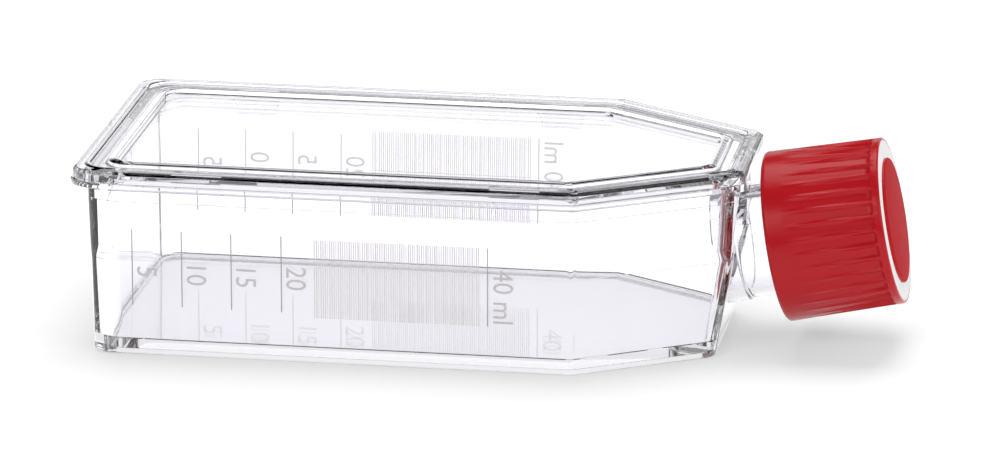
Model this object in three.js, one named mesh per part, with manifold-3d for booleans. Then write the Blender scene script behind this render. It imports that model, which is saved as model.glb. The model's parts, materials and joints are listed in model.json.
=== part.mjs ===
// Cell culture flask with a canted neck and a vented screw cap.
//
// Units are millimetres, +Z is up and +X runs from the back end towards the cap. The flask lies on its
// growth surface. Four mouldings make it: the tray with its neck, the plate bonded on top, the screw
// cap, and the vent membrane in the cap's end.

import * as THREE from 'three';
import { mergeVertices } from 'three/addons/utils/BufferGeometryUtils.js';
import Module from 'manifold-3d';

const wasm = await Module();
wasm.setup();

// ---- driving dimensions -------------------------------------------------------------------------

// Plan of the top plate
const bodyLength = 81.5;        // back end to neck end
const bodyWidth = 44.7;
const straightLength = 62.4;    // back end to the bend, where the sides start to taper
const neckEndWidth = 19.8;
const plateCorners = { back: 3.5, bend: 1, neck: 1.3 };   // radii in plan

// Heights above the table
const seamHeight = 22.05;       // where the top plate meets the flange
const plateRise = 1.6;          // from the seam to the top of the plate's rim

// Tray
const wall = 1.2;
const sideOverhang = 1.15;      // plate edge beyond the long and tapered walls, just under the flange
const backOverhang = 1.8;       // the same at the back end
const neckOverhang = 1.4;       // and at the neck end
const wallDraft = 1.4;          // degrees, long sides and back end
const neckWallDraft = 2;        // degrees, upper part of the neck end
const lowerNeckWallDraft = 9.3; // degrees, lower part of the neck end
const partingHeight = 12.2;     // height of the ledge across the neck end
const partingLedge = 0.3;
const floorThickness = 1.2;
const footHeight = 0.55;
const footWidth = 1.5;
const footEdgeRadius = 0.6;
const floorFilletRadius = 0.5;
const wallCorners = { back: 2.4, bend: 1, neck: 1.1 };
const innerCorners = { back: 1.8, bend: 0.8, neck: 1.2 };
const flangeInset = { back: -0.25, side: -0.25, neck: 0.8 };    // plate edge to the flange's edge
const flangeThickness = 0.6;
const flangeChamfer = 0.35;

// Top plate, from its edge inwards: rim, stacking band, recessed panel
const rimWidth = 1.9;
const rimEdgeRadius = 0.3;
const bandDrop = 0.2;           // below the rim
const bandInset = { back: 4.6, side: 5, neck: 4.7 };    // plate edge to the panel
const panelDrop = 1.1;          // below the band
const panelThickness = 1.1;
const panelStepRun = 0.2;       // lean of the step down to the panel
const tabStations = [15.55, 54.7];  // from the back end
const tabRootWidth = 6.2;
const tabTipWidth = 4.8;
const tabDrop = 2.75;
const tabThickness = 0.8;
const tabClearance = 0.3;       // to the tray's wall

// Neck
const neckSetback = 1.2;        // where the neck's axis meets the neck end, from the plate's end
const neckRootHeight = 12.05;
const neckTilt = 11;            // degrees above the table
const neckLength = 17.2;
const neckRadius = 7.05;
const neckBoreRadius = 5.9;
const neckRootRadius = 7.3;     // at the foot of the shoulder that joins the neck to the wall
const neckShoulderLength = 0.4;
const neckLipRadius = 0.35;
const stopLugStart = 0.8;       // along the neck from its root, on the neck's top side
const stopLugLength = 1.2;
const stopLugWidth = 5;
const stopLugRadius = 8.8;      // its crest, from the neck's axis

// Screw cap
const capStandOff = 4.3;        // cap's open end from the neck's root
const capLength = 14.7;
const capOpenRadius = 10.6;
const capEndRadius = 10.4;
const capBoreRadius = 9;
const capMouthChamfer = 0.4;
const capMouthEdgeRadius = 0.5;
const capEndEdgeRadius = 0.8;
const ribCount = 36;
const ribDepth = 0.45;          // at the closed end; the ribs run out towards the open end
const ribCrestShare = 0.22;     // of the rib spacing
const ribLandShare = 0.5;
const ribStart = 2.4;           // from the open end
const ribEnd = 13.3;
const capWebClearance = 0.3;    // between the neck's lip and the cap's web
const capWebThickness = 0.8;
const sealRingHeight = 0.8;
const sealRingClearance = 0.3;  // to the outside of the neck
const sealRingOffset = 1.1;     // below the web
const discRadius = 8;
const discProud = 0.4;
const discEdgeRadius = 0.2;
const discCoreRadius = 5;       // hollow under the disc
const discCoreDepth = 0.9;
const ventSlotCount = 10;
const ventSlotWidth = 0.5;
const ventSlotRadius = 8.5;     // to the slot's middle
const ventSlotArc = 26;         // degrees

// Vent membrane
const membraneThickness = 0.4;
const membraneOuterRadius = 9.35;
const membraneGap = 0.2;        // to the disc inside it and the cap's rim outside it

// How far a cutting solid reaches past the face that it opens
const cutPast = 2;

// Facets
const cornerSteps = 8;          // per rounded corner of the plan
const filletSteps = 4;          // per rounded edge
const roundSegments = 72;       // round the neck and the cap's bore

// ---- materials ----------------------------------------------------------------------------------

const clearPolystyrene = new THREE.MeshStandardMaterial({
  color: '#eef2f4', roughness: 0.04, metalness: 0, transparent: true, opacity: 0.35,
});
const redPolyethylene = new THREE.MeshStandardMaterial({ color: '#b81d28', roughness: 0.35, metalness: 0 });
const whiteMembrane = new THREE.MeshStandardMaterial({ color: '#f6f6f4', roughness: 0.9, metalness: 0 });

// ---- helpers ------------------------------------------------------------------------------------

const tanDegrees = (angle) => Math.tan(THREE.MathUtils.degToRad(angle));

// A closed geometry as a solid that can be joined and cut.
function toSolid(geometry) {
  const bare = new THREE.BufferGeometry();
  bare.setAttribute('position', geometry.getAttribute('position'));
  bare.setIndex(geometry.getIndex());
  const merged = mergeVertices(bare, 1e-5);
  return new wasm.Manifold(new wasm.Mesh({
    numProp: 3,
    vertProperties: new Float32Array(merged.getAttribute('position').array),
    triVerts: new Uint32Array(merged.getIndex().array),
  }));
}

function toGeometry(solid) {
  const mesh = solid.getMesh();
  const geometry = new THREE.BufferGeometry();
  geometry.setAttribute('position', new THREE.BufferAttribute(mesh.vertProperties, 3));
  geometry.setIndex(new THREE.BufferAttribute(mesh.triVerts, 1));
  geometry.computeVertexNormals();
  return geometry;
}

// Rings of equal point counts, bottom to top, skinned into one closed geometry. Each ring is a
// counter-clockwise list of Vector3.
function loft(rings) {
  const count = rings[0].length;
  const positions = rings.flat().flatMap((point) => [point.x, point.y, point.z]);
  const indices = [];
  for (let ring = 0; ring + 1 < rings.length; ring += 1) {
    for (let i = 0; i < count; i += 1) {
      const a = ring * count + i;
      const b = ring * count + (i + 1) % count;
      indices.push(a, b, b + count, a, b + count, a + count);
    }
  }
  const faces = THREE.ShapeUtils.triangulateShape(rings[0].map((p) => new THREE.Vector2(p.x, p.y)), []);
  const top = (rings.length - 1) * count;
  for (const [a, b, c] of faces) {
    indices.push(a, c, b);
    indices.push(top + a, top + b, top + c);
  }
  const geometry = new THREE.BufferGeometry();
  geometry.setAttribute('position', new THREE.Float32BufferAttribute(positions, 3));
  geometry.setIndex(indices);
  return geometry;
}

// A profile of [radius, height] pairs turned round +Z.
function turned(profile) {
  const points = profile.map(([radius, height]) => new THREE.Vector2(radius, height));
  return new THREE.LatheGeometry(points, roundSegments).rotateX(Math.PI / 2);
}

// Points of a quarter round from one direction to the next, as [across, along] shares of its radius.
function quarterRound(steps) {
  return Array.from({ length: steps + 1 }, (_, i) => {
    const angle = (Math.PI / 2) * (i / steps);
    return [1 - Math.cos(angle), Math.sin(angle)];
  });
}

// ---- the plan outline ---------------------------------------------------------------------------

const taperSlope = (bodyWidth - neckEndWidth) / 2 / (bodyLength - straightLength);

// Corners of the plan, with the back end, the sides and the neck end each moved inwards by an inset.
// The tapered sides move square to themselves.
function planCorners({ back, side, neck }) {
  const half = bodyWidth / 2 - side;
  const taperShift = side * Math.hypot(1, taperSlope);
  const bendX = straightLength + (side - taperShift) / taperSlope;
  const neckX = bodyLength - neck;
  const neckHalf = bodyWidth / 2 - taperShift - taperSlope * (neckX - straightLength);
  return [[back, -half], [bendX, -half], [neckX, -neckHalf], [neckX, neckHalf], [bendX, half], [back, half]]
    .map(([x, y]) => new THREE.Vector2(x, y));
}

// The same plan with its corners rounded, as a ring at one height.
function planRing(insets, radii, height) {
  const corners = planCorners(insets);
  const cornerRadii = [radii.back, radii.bend, radii.neck, radii.neck, radii.bend, radii.back];
  const ring = [];
  corners.forEach((corner, i) => {
    const radius = cornerRadii[i];
    const before = corners[(i + corners.length - 1) % corners.length].clone().sub(corner).normalize();
    const after = corners[(i + 1) % corners.length].clone().sub(corner).normalize();
    const halfAngle = Math.acos(before.dot(after)) / 2;
    const centre = before.clone().add(after).setLength(radius / Math.sin(halfAngle)).add(corner);
    const start = before.multiplyScalar(radius / Math.tan(halfAngle)).add(corner).sub(centre);
    const turn = Math.PI - 2 * halfAngle;
    for (let step = 0; step <= cornerSteps; step += 1) {
      const point = start.clone().rotateAround(new THREE.Vector2(), turn * (step / cornerSteps)).add(centre);
      ring.push(new THREE.Vector3(point.x, point.y, height));
    }
  });
  return ring;
}

// Corner radii changed by one amount, as an offset of the plan changes them.
const offsetCorners = (radii, by) => ({ back: radii.back + by, bend: radii.bend + by, neck: radii.neck + by });
const equalInsets = (inset) => ({ back: inset, side: inset, neck: inset });
const grow = (insets, by) => ({ back: insets.back + by, side: insets.side + by, neck: insets.neck + by });

// ---- tray ---------------------------------------------------------------------------------------

const flangeBottom = seamHeight - flangeThickness;
const flangeRoot = flangeBottom - flangeChamfer;
const floorTop = footHeight + floorThickness;

// Insets of the tray's outer walls at a height, below or above the parting ledge.
function wallInsets(height, belowLedge = height < partingHeight) {
  const drop = flangeBottom - height;
  const upperNeck = neckOverhang + tanDegrees(neckWallDraft) * (flangeBottom - Math.max(height, partingHeight));
  const lowerNeck = tanDegrees(lowerNeckWallDraft) * (partingHeight - height) - partingLedge;
  return {
    side: sideOverhang + tanDegrees(wallDraft) * drop,
    back: backOverhang + tanDegrees(wallDraft) * drop,
    neck: upperNeck + (belowLedge ? lowerNeck : 0),
  };
}

function trayOuter() {
  const rings = quarterRound(filletSteps).map(([across, along]) => {
    const height = footEdgeRadius * across;
    return planRing(grow(wallInsets(height), footEdgeRadius * (1 - along)), wallCorners, height);
  });
  rings.push(planRing(wallInsets(partingHeight, true), wallCorners, partingHeight));
  rings.push(planRing(wallInsets(partingHeight, false), wallCorners, partingHeight));
  rings.push(planRing(wallInsets(flangeRoot), wallCorners, flangeRoot));
  rings.push(planRing(flangeInset, plateCorners, flangeBottom));
  rings.push(planRing(flangeInset, plateCorners, seamHeight));
  return toSolid(loft(rings));
}

// The space for the medium: the walls' inner faces, a fillet round the floor, open at the seam.
function trayCavity() {
  const rings = quarterRound(filletSteps).map(([across, along]) => {
    const height = floorTop + floorFilletRadius * across;
    const inset = wall + floorFilletRadius * (1 - along);
    return planRing(grow(wallInsets(height), inset), innerCorners, height);
  });
  rings.push(planRing(grow(wallInsets(partingHeight, true), wall), innerCorners, partingHeight));
  rings.push(planRing(grow(wallInsets(partingHeight + wall, false), wall), innerCorners, partingHeight + wall));
  rings.push(planRing(grow(wallInsets(seamHeight), wall), innerCorners, seamHeight));
  rings.push(planRing(grow(wallInsets(seamHeight), wall), innerCorners, seamHeight + cutPast));
  return toSolid(loft(rings));
}

// The shallow hollow under the floor, which leaves the foot standing round it.
function footHollow() {
  const insets = grow(wallInsets(0), footWidth);
  return toSolid(loft([
    planRing(insets, innerCorners, -cutPast),
    planRing(insets, innerCorners, footHeight),
  ]));
}

// ---- neck ---------------------------------------------------------------------------------------

// The neck and the cap are modelled round +Z from the neck's root and then laid onto its axis.
const neckRootX = bodyLength - neckSetback;
const ontoNeckAxis = new THREE.Matrix4()
  .makeRotationY(Math.PI / 2 - THREE.MathUtils.degToRad(neckTilt))
  .setPosition(neckRootX, 0, neckRootHeight);

function neckOuter() {
  const buried = 3 * wall;
  return toSolid(turned([
    [0, -buried],
    [neckRootRadius, -buried],
    [neckRootRadius, 0],
    [neckRadius, neckShoulderLength],
    [neckRadius, neckLength - neckLipRadius],
    [neckRadius - neckLipRadius, neckLength],
    [0, neckLength],
  ]));
}

// The lug that stops the cap: a sector of a disc, on the neck's top side.
function stopLug() {
  const end = stopLugStart + stopLugLength;
  const disc = toSolid(turned([[0, stopLugStart], [stopLugRadius, stopLugStart], [stopLugRadius, end], [0, end]]));
  const block = new THREE.BoxGeometry(stopLugRadius, stopLugWidth, 2 * end);
  return disc.intersect(toSolid(block.translate(-stopLugRadius / 2 - neckBoreRadius, 0, end)));
}

function neckBore() {
  const buried = 6 * wall;
  return toSolid(turned([
    [0, -buried],
    [neckBoreRadius, -buried],
    [neckBoreRadius, neckLength - neckLipRadius],
    [neckBoreRadius + neckLipRadius, neckLength],
    [neckBoreRadius + neckLipRadius, neckLength + cutPast],
    [0, neckLength + cutPast],
  ]));
}

function flaskBody() {
  const onAxis = (solid) => solid.transform(ontoNeckAxis.elements);
  return toGeometry(trayOuter()
    .add(onAxis(neckOuter().add(stopLug())))
    .subtract(trayCavity())
    .subtract(footHollow())
    .subtract(onAxis(neckBore())));
}

// ---- top plate ----------------------------------------------------------------------------------

const bodyHeight = seamHeight + plateRise;
const bandTop = bodyHeight - bandDrop;
const panelTop = bandTop - panelDrop;
const panelUnderside = panelTop - panelThickness;

// A straight-sided block of the plan between two heights, or a leaning one with `lean` more inset below.
function planBlock(insets, radii, bottom, top, lean = 0) {
  return toSolid(loft([planRing(grow(insets, lean), radii, bottom), planRing(insets, radii, top)]));
}

function plateBlank() {
  const rings = [planRing(equalInsets(0), plateCorners, seamHeight)];
  for (const [across, along] of quarterRound(filletSteps)) {
    rings.push(planRing(
      equalInsets(rimEdgeRadius * across),
      offsetCorners(plateCorners, -rimEdgeRadius * across),
      bodyHeight - rimEdgeRadius * (1 - along),
    ));
  }
  return toSolid(loft(rings));
}

// A trapezoid tab that hangs down beside a long wall and centres the plate. `side` is 1 or -1.
function locatingTab(station, side) {
  const outline = new THREE.Shape([
    [tabRootWidth / -2, panelThickness / 2], [tabRootWidth / -2, 0], [tabTipWidth / -2, -tabDrop],
    [tabTipWidth / 2, -tabDrop], [tabRootWidth / 2, 0], [tabRootWidth / 2, panelThickness / 2],
  ].map(([x, y]) => new THREE.Vector2(x, y)));
  const tab = new THREE.ExtrudeGeometry(outline, { depth: tabThickness, bevelEnabled: false });
  const outerFace = bodyWidth / 2 - wallInsets(seamHeight - tabDrop).side - wall - tabClearance;
  tab.rotateX(Math.PI / 2);
  tab.translate(station, side > 0 ? outerFace : tabThickness - outerFace, seamHeight);
  return toSolid(tab);
}

function topPlate() {
  let plate = plateBlank()
    .add(planBlock(grow(bandInset, -panelThickness), innerCorners, panelUnderside, bandTop))
    .subtract(planBlock(equalInsets(rimWidth), innerCorners, bandTop, bodyHeight + cutPast))
    .subtract(planBlock(bandInset, innerCorners, panelTop, bandTop, panelStepRun))
    .subtract(planBlock(bandInset, innerCorners, bandTop, bodyHeight + cutPast));
  for (const station of tabStations) {
    for (const side of [-1, 1]) plate = plate.add(locatingTab(station, side));
  }
  return toGeometry(plate);
}

// ---- screw cap ----------------------------------------------------------------------------------

const webInner = neckLength + capWebClearance - capStandOff;
const webOuter = webInner + capWebThickness;

// Radius of the cap's outside, without ribs, at a distance from its open end.
const capRadiusAt = (along) => THREE.MathUtils.lerp(capOpenRadius, capEndRadius, along / capLength);

// One ring of the cap's outside. `depth` is how far the lands between the ribs are sunk.
function ribbedRing(radius, depth, height) {
  const ring = [];
  for (let rib = 0; rib < ribCount; rib += 1) {
    const corners = [
      [-ribCrestShare / 2, 0], [ribCrestShare / 2, 0],
      [0.5 - ribLandShare / 2, depth], [0.5 + ribLandShare / 2, depth],
    ];
    for (const [share, sunk] of corners) {
      const angle = ((rib + share) / ribCount) * 2 * Math.PI;
      ring.push(new THREE.Vector3((radius - sunk) * Math.cos(angle), (radius - sunk) * Math.sin(angle), height));
    }
  }
  return ring;
}

function capOuter() {
  const rings = [];
  for (const [across, along] of quarterRound(filletSteps)) {
    const height = capMouthEdgeRadius * across;
    rings.push(ribbedRing(capRadiusAt(height) - capMouthEdgeRadius * (1 - along), 0, height));
  }
  rings.push(ribbedRing(capRadiusAt(ribStart), 0, ribStart));
  rings.push(ribbedRing(capRadiusAt(ribEnd), ribDepth, ribEnd));
  rings.push(ribbedRing(capRadiusAt(ribEnd + ribDepth), 0, ribEnd + ribDepth));
  for (const [across, along] of quarterRound(filletSteps)) {
    const height = capLength - capEndEdgeRadius * (1 - along);
    rings.push(ribbedRing(capRadiusAt(height) - capEndEdgeRadius * across, 0, height));
  }
  return toSolid(loft(rings));
}

// The hollow for the neck, from the mouth to the web, narrowed by the seal ring.
function capBore() {
  const sealRadius = neckRadius + sealRingClearance;
  const sealTop = webInner - sealRingOffset;
  const sealSlope = capBoreRadius - sealRadius;
  return toSolid(turned([
    [0, -cutPast],
    [capBoreRadius + capMouthChamfer + cutPast, -cutPast],
    [capBoreRadius, capMouthChamfer],
    [capBoreRadius, sealTop - sealRingHeight - sealSlope],
    [sealRadius, sealTop - sealRingHeight],
    [sealRadius, sealTop],
    [capBoreRadius, sealTop + sealSlope / 2],
    [capBoreRadius, webInner],
    [discCoreRadius, webInner],
    [discCoreRadius, webInner + discCoreDepth],
    [0, webInner + discCoreDepth],
  ]));
}

// The annular recess in the closed end that takes the membrane and leaves the disc standing.
function membraneRecess() {
  return toSolid(turned([
    [discRadius, webOuter],
    [membraneOuterRadius + membraneGap, webOuter],
    [membraneOuterRadius + membraneGap, capLength + cutPast],
    [discRadius, capLength + cutPast],
    [discRadius, webOuter],
  ]));
}

function capDisc() {
  const top = capLength + discProud;
  return toSolid(turned([
    [0, webOuter],
    [discRadius, webOuter],
    ...quarterRound(filletSteps).map(([across, along]) => [
      discRadius - discEdgeRadius * across, top - discEdgeRadius * (1 - along),
    ]),
    [0, top],
  ]));
}

// A curved slot through the web, under the membrane.
function ventSlot(index) {
  const inner = ventSlotRadius - ventSlotWidth / 2;
  const outer = ventSlotRadius + ventSlotWidth / 2;
  const middle = (index / ventSlotCount) * 2 * Math.PI;
  const half = THREE.MathUtils.degToRad(ventSlotArc) / 2;
  const outline = new THREE.Shape();
  outline.absarc(0, 0, outer, middle - half, middle + half, false);
  outline.absarc(0, 0, inner, middle + half, middle - half, true);
  outline.closePath();
  const depth = 3 * capWebThickness;
  const slot = new THREE.ExtrudeGeometry(outline, { depth, bevelEnabled: false, curveSegments: 4 });
  return toSolid(slot.translate(0, 0, webInner - capWebThickness));
}

function screwCap() {
  let cap = capOuter().subtract(capBore()).subtract(membraneRecess()).add(capDisc());
  for (let slot = 0; slot < ventSlotCount; slot += 1) cap = cap.subtract(ventSlot(slot));
  return toGeometry(cap);
}

// ---- vent membrane ------------------------------------------------------------------------------

function ventMembrane() {
  const top = capLength;
  const bottom = top - membraneThickness;
  const inner = discRadius + membraneGap;
  return turned([
    [inner, bottom], [membraneOuterRadius, bottom], [membraneOuterRadius, top], [inner, top], [inner, bottom],
  ]);
}

// ---- assembly -----------------------------------------------------------------------------------

function piece(name, geometry, material) {
  const mesh = new THREE.Mesh(geometry, material);
  mesh.name = name;
  return mesh;
}

const flask = new THREE.Group();
flask.add(piece('flask_body', flaskBody(), clearPolystyrene));
flask.add(piece('top_plate', topPlate(), clearPolystyrene));

const capAssembly = new THREE.Group();
capAssembly.add(piece('screw_cap', screwCap(), redPolyethylene));
capAssembly.add(piece('vent_membrane', ventMembrane(), whiteMembrane));
capAssembly.rotation.y = Math.PI / 2 - THREE.MathUtils.degToRad(neckTilt);
capAssembly.position.set(neckRootX, 0, neckRootHeight)
  .add(new THREE.Vector3(0, 0, capStandOff).applyEuler(capAssembly.rotation));
flask.add(capAssembly);

// The origin is on the table under the middle of the whole flask, cap included.
flask.updateMatrixWorld(true);
const bounds = new THREE.Box3().setFromObject(flask, true);
flask.position.x = -(bounds.min.x + bounds.max.x) / 2;
flask.updateMatrixWorld(true);

export default flask;
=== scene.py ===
"""Cell culture flask with a canted neck and a vented screw cap: the finish of every surface.

The script is laid out as an add-on and is run as a script. The frame gives every place: the top plate's
box gives the plan, and the cap's joint gives the neck's axis. Sizes are in millimetres in the formulas
and in metres in the scene.
"""

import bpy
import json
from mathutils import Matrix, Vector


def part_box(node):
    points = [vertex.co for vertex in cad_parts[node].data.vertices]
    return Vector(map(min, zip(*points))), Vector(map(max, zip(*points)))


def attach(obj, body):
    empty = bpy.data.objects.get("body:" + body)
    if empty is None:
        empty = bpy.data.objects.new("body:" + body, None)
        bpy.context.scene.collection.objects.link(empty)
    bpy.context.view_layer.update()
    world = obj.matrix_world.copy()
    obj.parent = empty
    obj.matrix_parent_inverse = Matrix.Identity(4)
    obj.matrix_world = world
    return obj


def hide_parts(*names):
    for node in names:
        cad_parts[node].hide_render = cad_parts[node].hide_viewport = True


bl_info = {
    "name": "Cell Culture Flask",
    "version": (1, 0, 0),
    "blender": (4, 5, 0),
    "location": "View3D > Sidebar > Flask",
    "description": "Builds the surfaces, print, materials and stage of a cell culture flask",
    "category": "Object",
}

import json
import math
from types import SimpleNamespace

import bpy
import numpy as np
from bpy.props import FloatProperty, IntProperty, PointerProperty, StringProperty
from mathutils import Vector

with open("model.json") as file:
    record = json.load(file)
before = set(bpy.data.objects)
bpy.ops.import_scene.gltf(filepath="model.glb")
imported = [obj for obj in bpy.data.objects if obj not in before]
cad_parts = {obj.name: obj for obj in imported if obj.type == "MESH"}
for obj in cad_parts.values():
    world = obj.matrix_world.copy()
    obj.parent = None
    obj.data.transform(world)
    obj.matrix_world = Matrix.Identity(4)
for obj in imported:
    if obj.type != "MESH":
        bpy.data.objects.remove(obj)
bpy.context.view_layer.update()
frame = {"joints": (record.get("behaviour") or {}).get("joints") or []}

MM = 0.001
PLATE_LOW, PLATE_HIGH = (np.array(corner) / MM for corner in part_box("top_plate"))
CAP_JOINT = next(joint for joint in frame["joints"] if joint["name"] == "cap_turn")
NECK_ROOT = np.array(CAP_JOINT["pos_m"]) / MM
NECK_AXIS = np.array(CAP_JOINT["axis"])

# Steps in each rounded corner of the plan and in each rounded edge, and points round the neck and for
# each rib of the cap
CORNER_STEPS = 10
EDGE_STEPS = 6
NECK_STEPS = 160
POINTS_PER_RIB = 14


# ---- sizes and colours that a user would change ---------------------------------------------------


def length(name, description, millimetres):
    """A length property, given in millimetres and kept in metres."""
    return FloatProperty(
        name=name, description=description, default=millimetres * MM, unit="LENGTH", precision=5,
    )


def degrees(name, description, value):
    """An angle property, given in degrees."""
    return FloatProperty(name=name, description=description, default=math.radians(value), subtype="ANGLE")


def hex_colour(name, description, value):
    """A colour property, written as an sRGB hex value."""
    return StringProperty(name=name, description=description, default=value)


class PlanSizes(bpy.types.PropertyGroup):
    """The flask seen from above."""

    straight: length("Straight length", "Back end to the bend where the sides start to taper", 62.4)
    neck_end: length("Neck end width", "Width of the top plate at the neck end", 19.8)
    corner_back: length("Back corner", "Radius of the plate's back corners", 3.5)
    corner_bend: length("Bend corner", "Radius of the plate's corners at the bend", 1.0)
    corner_neck: length("Neck corner", "Radius of the plate's corners at the neck end", 1.3)


class TraySizes(bpy.types.PropertyGroup):
    """The tray's walls, floor, foot and flange."""

    seam: length("Seam height", "Height of the flange's top face", 22.05)
    wall: length("Wall", "Thickness of the walls", 1.2)
    side_overhang: length("Side overhang", "Plate edge beyond the long and tapered walls", 1.15)
    back_overhang: length("Back overhang", "Plate edge beyond the back wall", 1.8)
    neck_overhang: length("Neck overhang", "Plate edge beyond the neck end wall", 1.4)
    draft: degrees("Draft", "Lean of the long walls and the back wall", 1.4)
    neck_draft: degrees("Neck wall draft", "Lean of the neck end wall above its ledge", 2.0)
    lower_draft: degrees("Lower neck wall draft", "Lean of the neck end wall below its ledge", 9.3)
    parting: length("Ledge height", "Height of the ledge across the neck end wall", 12.2)
    ledge: length("Ledge", "Depth of the ledge across the neck end wall", 0.3)
    floor: length("Floor", "Thickness of the floor", 1.2)
    foot_height: length("Foot height", "How far the foot stands below the floor", 0.55)
    foot_width: length("Foot width", "Width of the foot round the floor", 1.5)
    foot_edge: length("Foot edge", "Radius of the tray's bottom edge", 0.35)
    floor_bevel: length("Floor bevel", "Rise of the bevel between the floor and the walls inside", 0.22)
    flange_proud: length("Flange proud", "Flange edge beyond the plate's, at the sides and the back", 0.25)
    flange_setback: length("Flange setback", "Plate's edge beyond the flange at the neck end", 0.8)
    flange: length("Flange", "Thickness of the flange's edge", 0.6)
    flange_chamfer: length("Flange chamfer", "Height of the slope under the flange", 0.35)


class PlateSizes(bpy.types.PropertyGroup):
    """The top plate, from its edge inwards."""

    rim: length("Rim", "Width of the outer rim", 1.9)
    rim_edge: length("Rim edge", "Bevel of the plate's top edge", 0.45)
    band_drop: length("Band drop", "Stacking band below the rim", 0.2)
    band_back: length("Band, back", "Plate edge to the panel at the back end", 4.6)
    band_side: length("Band, side", "Plate edge to the panel along the sides", 5.0)
    band_neck: length("Band, neck end", "Plate edge to the panel at the neck end", 4.7)
    rim_rise: length("Rim rise", "Rise of the rim from its edge to its crest", 0.1)
    bead: length("Bead", "Height of the fine bead along the band's inner edge", 0.18)
    bead_width: length("Bead width", "Width of the bead's slope", 0.75)
    panel_drop: length("Panel drop", "Recessed panel below the band", 1.1)
    panel: length("Panel", "Thickness of the panel", 1.1)
    tab_root: length("Tab root", "Width of a locating tab at the top", 6.2)
    tab_tip: length("Tab tip", "Width of a locating tab at the bottom", 4.8)
    tab_drop: length("Tab drop", "How far a tab hangs down", 2.75)
    tab: length("Tab", "Thickness of a tab", 0.8)


class NeckSizes(bpy.types.PropertyGroup):
    """The neck and its thread."""

    length: length("Neck length", "From the neck end wall to the lip", 17.2)
    radius: length("Neck radius", "Outside, between the thread ridges", 7.05)
    bore: length("Bore radius", "Inside of the neck", 5.9)
    root: length("Root radius", "Where the shoulder meets the wall", 7.3)
    shoulder: length("Shoulder", "Length of the shoulder", 0.4)
    lip: length("Lip", "Radius of the lip's edges", 0.4)
    lug_start: length("Lug start", "The stop lug's distance from the neck's root", 0.8)
    lug_length: length("Lug length", "Length of the stop lug along the neck", 1.2)
    lug_width: length("Lug width", "Width of the stop lug", 5.0)
    lug_radius: length("Lug radius", "The stop lug's crest, from the neck's axis", 8.8)
    thread_height: length("Thread height", "Height of the neck's thread ridge", 1.25)
    thread_start: length("Thread start", "The thread's distance from the neck's root", 5.4)
    thread_turns: FloatProperty(name="Thread turns", description="Turns of the neck's thread", default=2.6)


class CapSizes(bpy.types.PropertyGroup):
    """The screw cap."""

    stand_off: length("Stand-off", "The cap's open end from the neck's root", 4.3)
    length: length("Cap length", "Open end to closed end", 14.66)
    open_radius: length("Open end radius", "Outside at the open end", 10.58)
    end_radius: length("Closed end radius", "Outside at the closed end", 10.31)
    bore: length("Cap bore", "Radius of the hollow", 9.0)
    ribs: IntProperty(name="Ribs", description="Grip ribs round the cap", default=36)
    rib_height: length("Rib height", "Height of the ribs at the closed end", 0.45)
    rib_width: length("Rib width", "Width of a rib at its foot", 0.9)
    rib_start: length("Rib start", "Where the ribs rise, from the open end", 2.4)
    rib_end: length("Rib end", "Where the ribs run into the end band", 13.3)
    disc: length("Disc radius", "The raised disc in the closed end", 7.75)
    disc_proud: length("Disc proud", "How far the disc stands out", 0.4)
    membrane: length("Membrane radius", "Outside of the vent membrane", 9.95)
    web: length("Web", "Thickness of the web behind the membrane", 0.8)


class FlaskColours(bpy.types.PropertyGroup):
    """Colours, as sRGB hex values."""

    polystyrene: hex_colour("Polystyrene", "Tint of the clear mouldings", "#faf9fd")
    cap: hex_colour("Cap", "Colour of the moulded cap", "#bd0f1b")
    membrane: hex_colour("Membrane", "Colour of the vent membrane", "#fbfbfb")
    depth: hex_colour("Depth", "Colour that long paths through the clear mouldings tend to", "#595961")
    ink: hex_colour("Ink", "Colour of the marks", "#cbc7ca")
    figure_ink: hex_colour("Figure ink", "Colour of the figures", "#e9e6e9")
    field_lines: hex_colour("Field lines", "Colour of the writing field's lines", "#f8f5f7")
    floor: hex_colour("Floor", "Colour of the floor", "#ffffff")


SETTINGS = {
    "flask_plan": PlanSizes,
    "flask_tray": TraySizes,
    "flask_plate": PlateSizes,
    "flask_neck": NeckSizes,
    "flask_cap": CapSizes,
    "flask_colours": FlaskColours,
}


def sizes(group):
    """One group's lengths in millimetres and its other values as they are, by name."""
    values = getattr(bpy.context.scene, group)
    result = {}
    for prop in values.bl_rna.properties:
        if prop.identifier not in {"rna_type", "name"}:
            value = getattr(values, prop.identifier)
            result[prop.identifier] = value / MM if getattr(prop, "unit", "NONE") == "LENGTH" else value
    return SimpleNamespace(**result)


# ---- meshes ---------------------------------------------------------------------------------------


def new_piece(name, points, faces, body=None, slot=None, smooth_angle=30):
    """An object from points in millimetres and faces, smooth up to an angle in degrees.

    A piece that stays rides on a body. The slot argument is not used. One without a body is used up by
    combine.
    """
    mesh = bpy.data.meshes.new(name)
    mesh.from_pydata((np.asarray(points) * MM).tolist(), [], faces)
    mesh.validate()
    piece = bpy.data.objects.new(name, mesh)
    bpy.context.scene.collection.objects.link(piece)
    soften(piece, smooth_angle)
    if body:
        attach(piece, body)
    return piece


def soften(piece, smooth_angle=30):
    """Smooth shading, with edges that turn by more than the angle left sharp."""
    piece.data.shade_smooth()
    piece.data.set_sharp_from_angle(angle=math.radians(smooth_angle))


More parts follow.
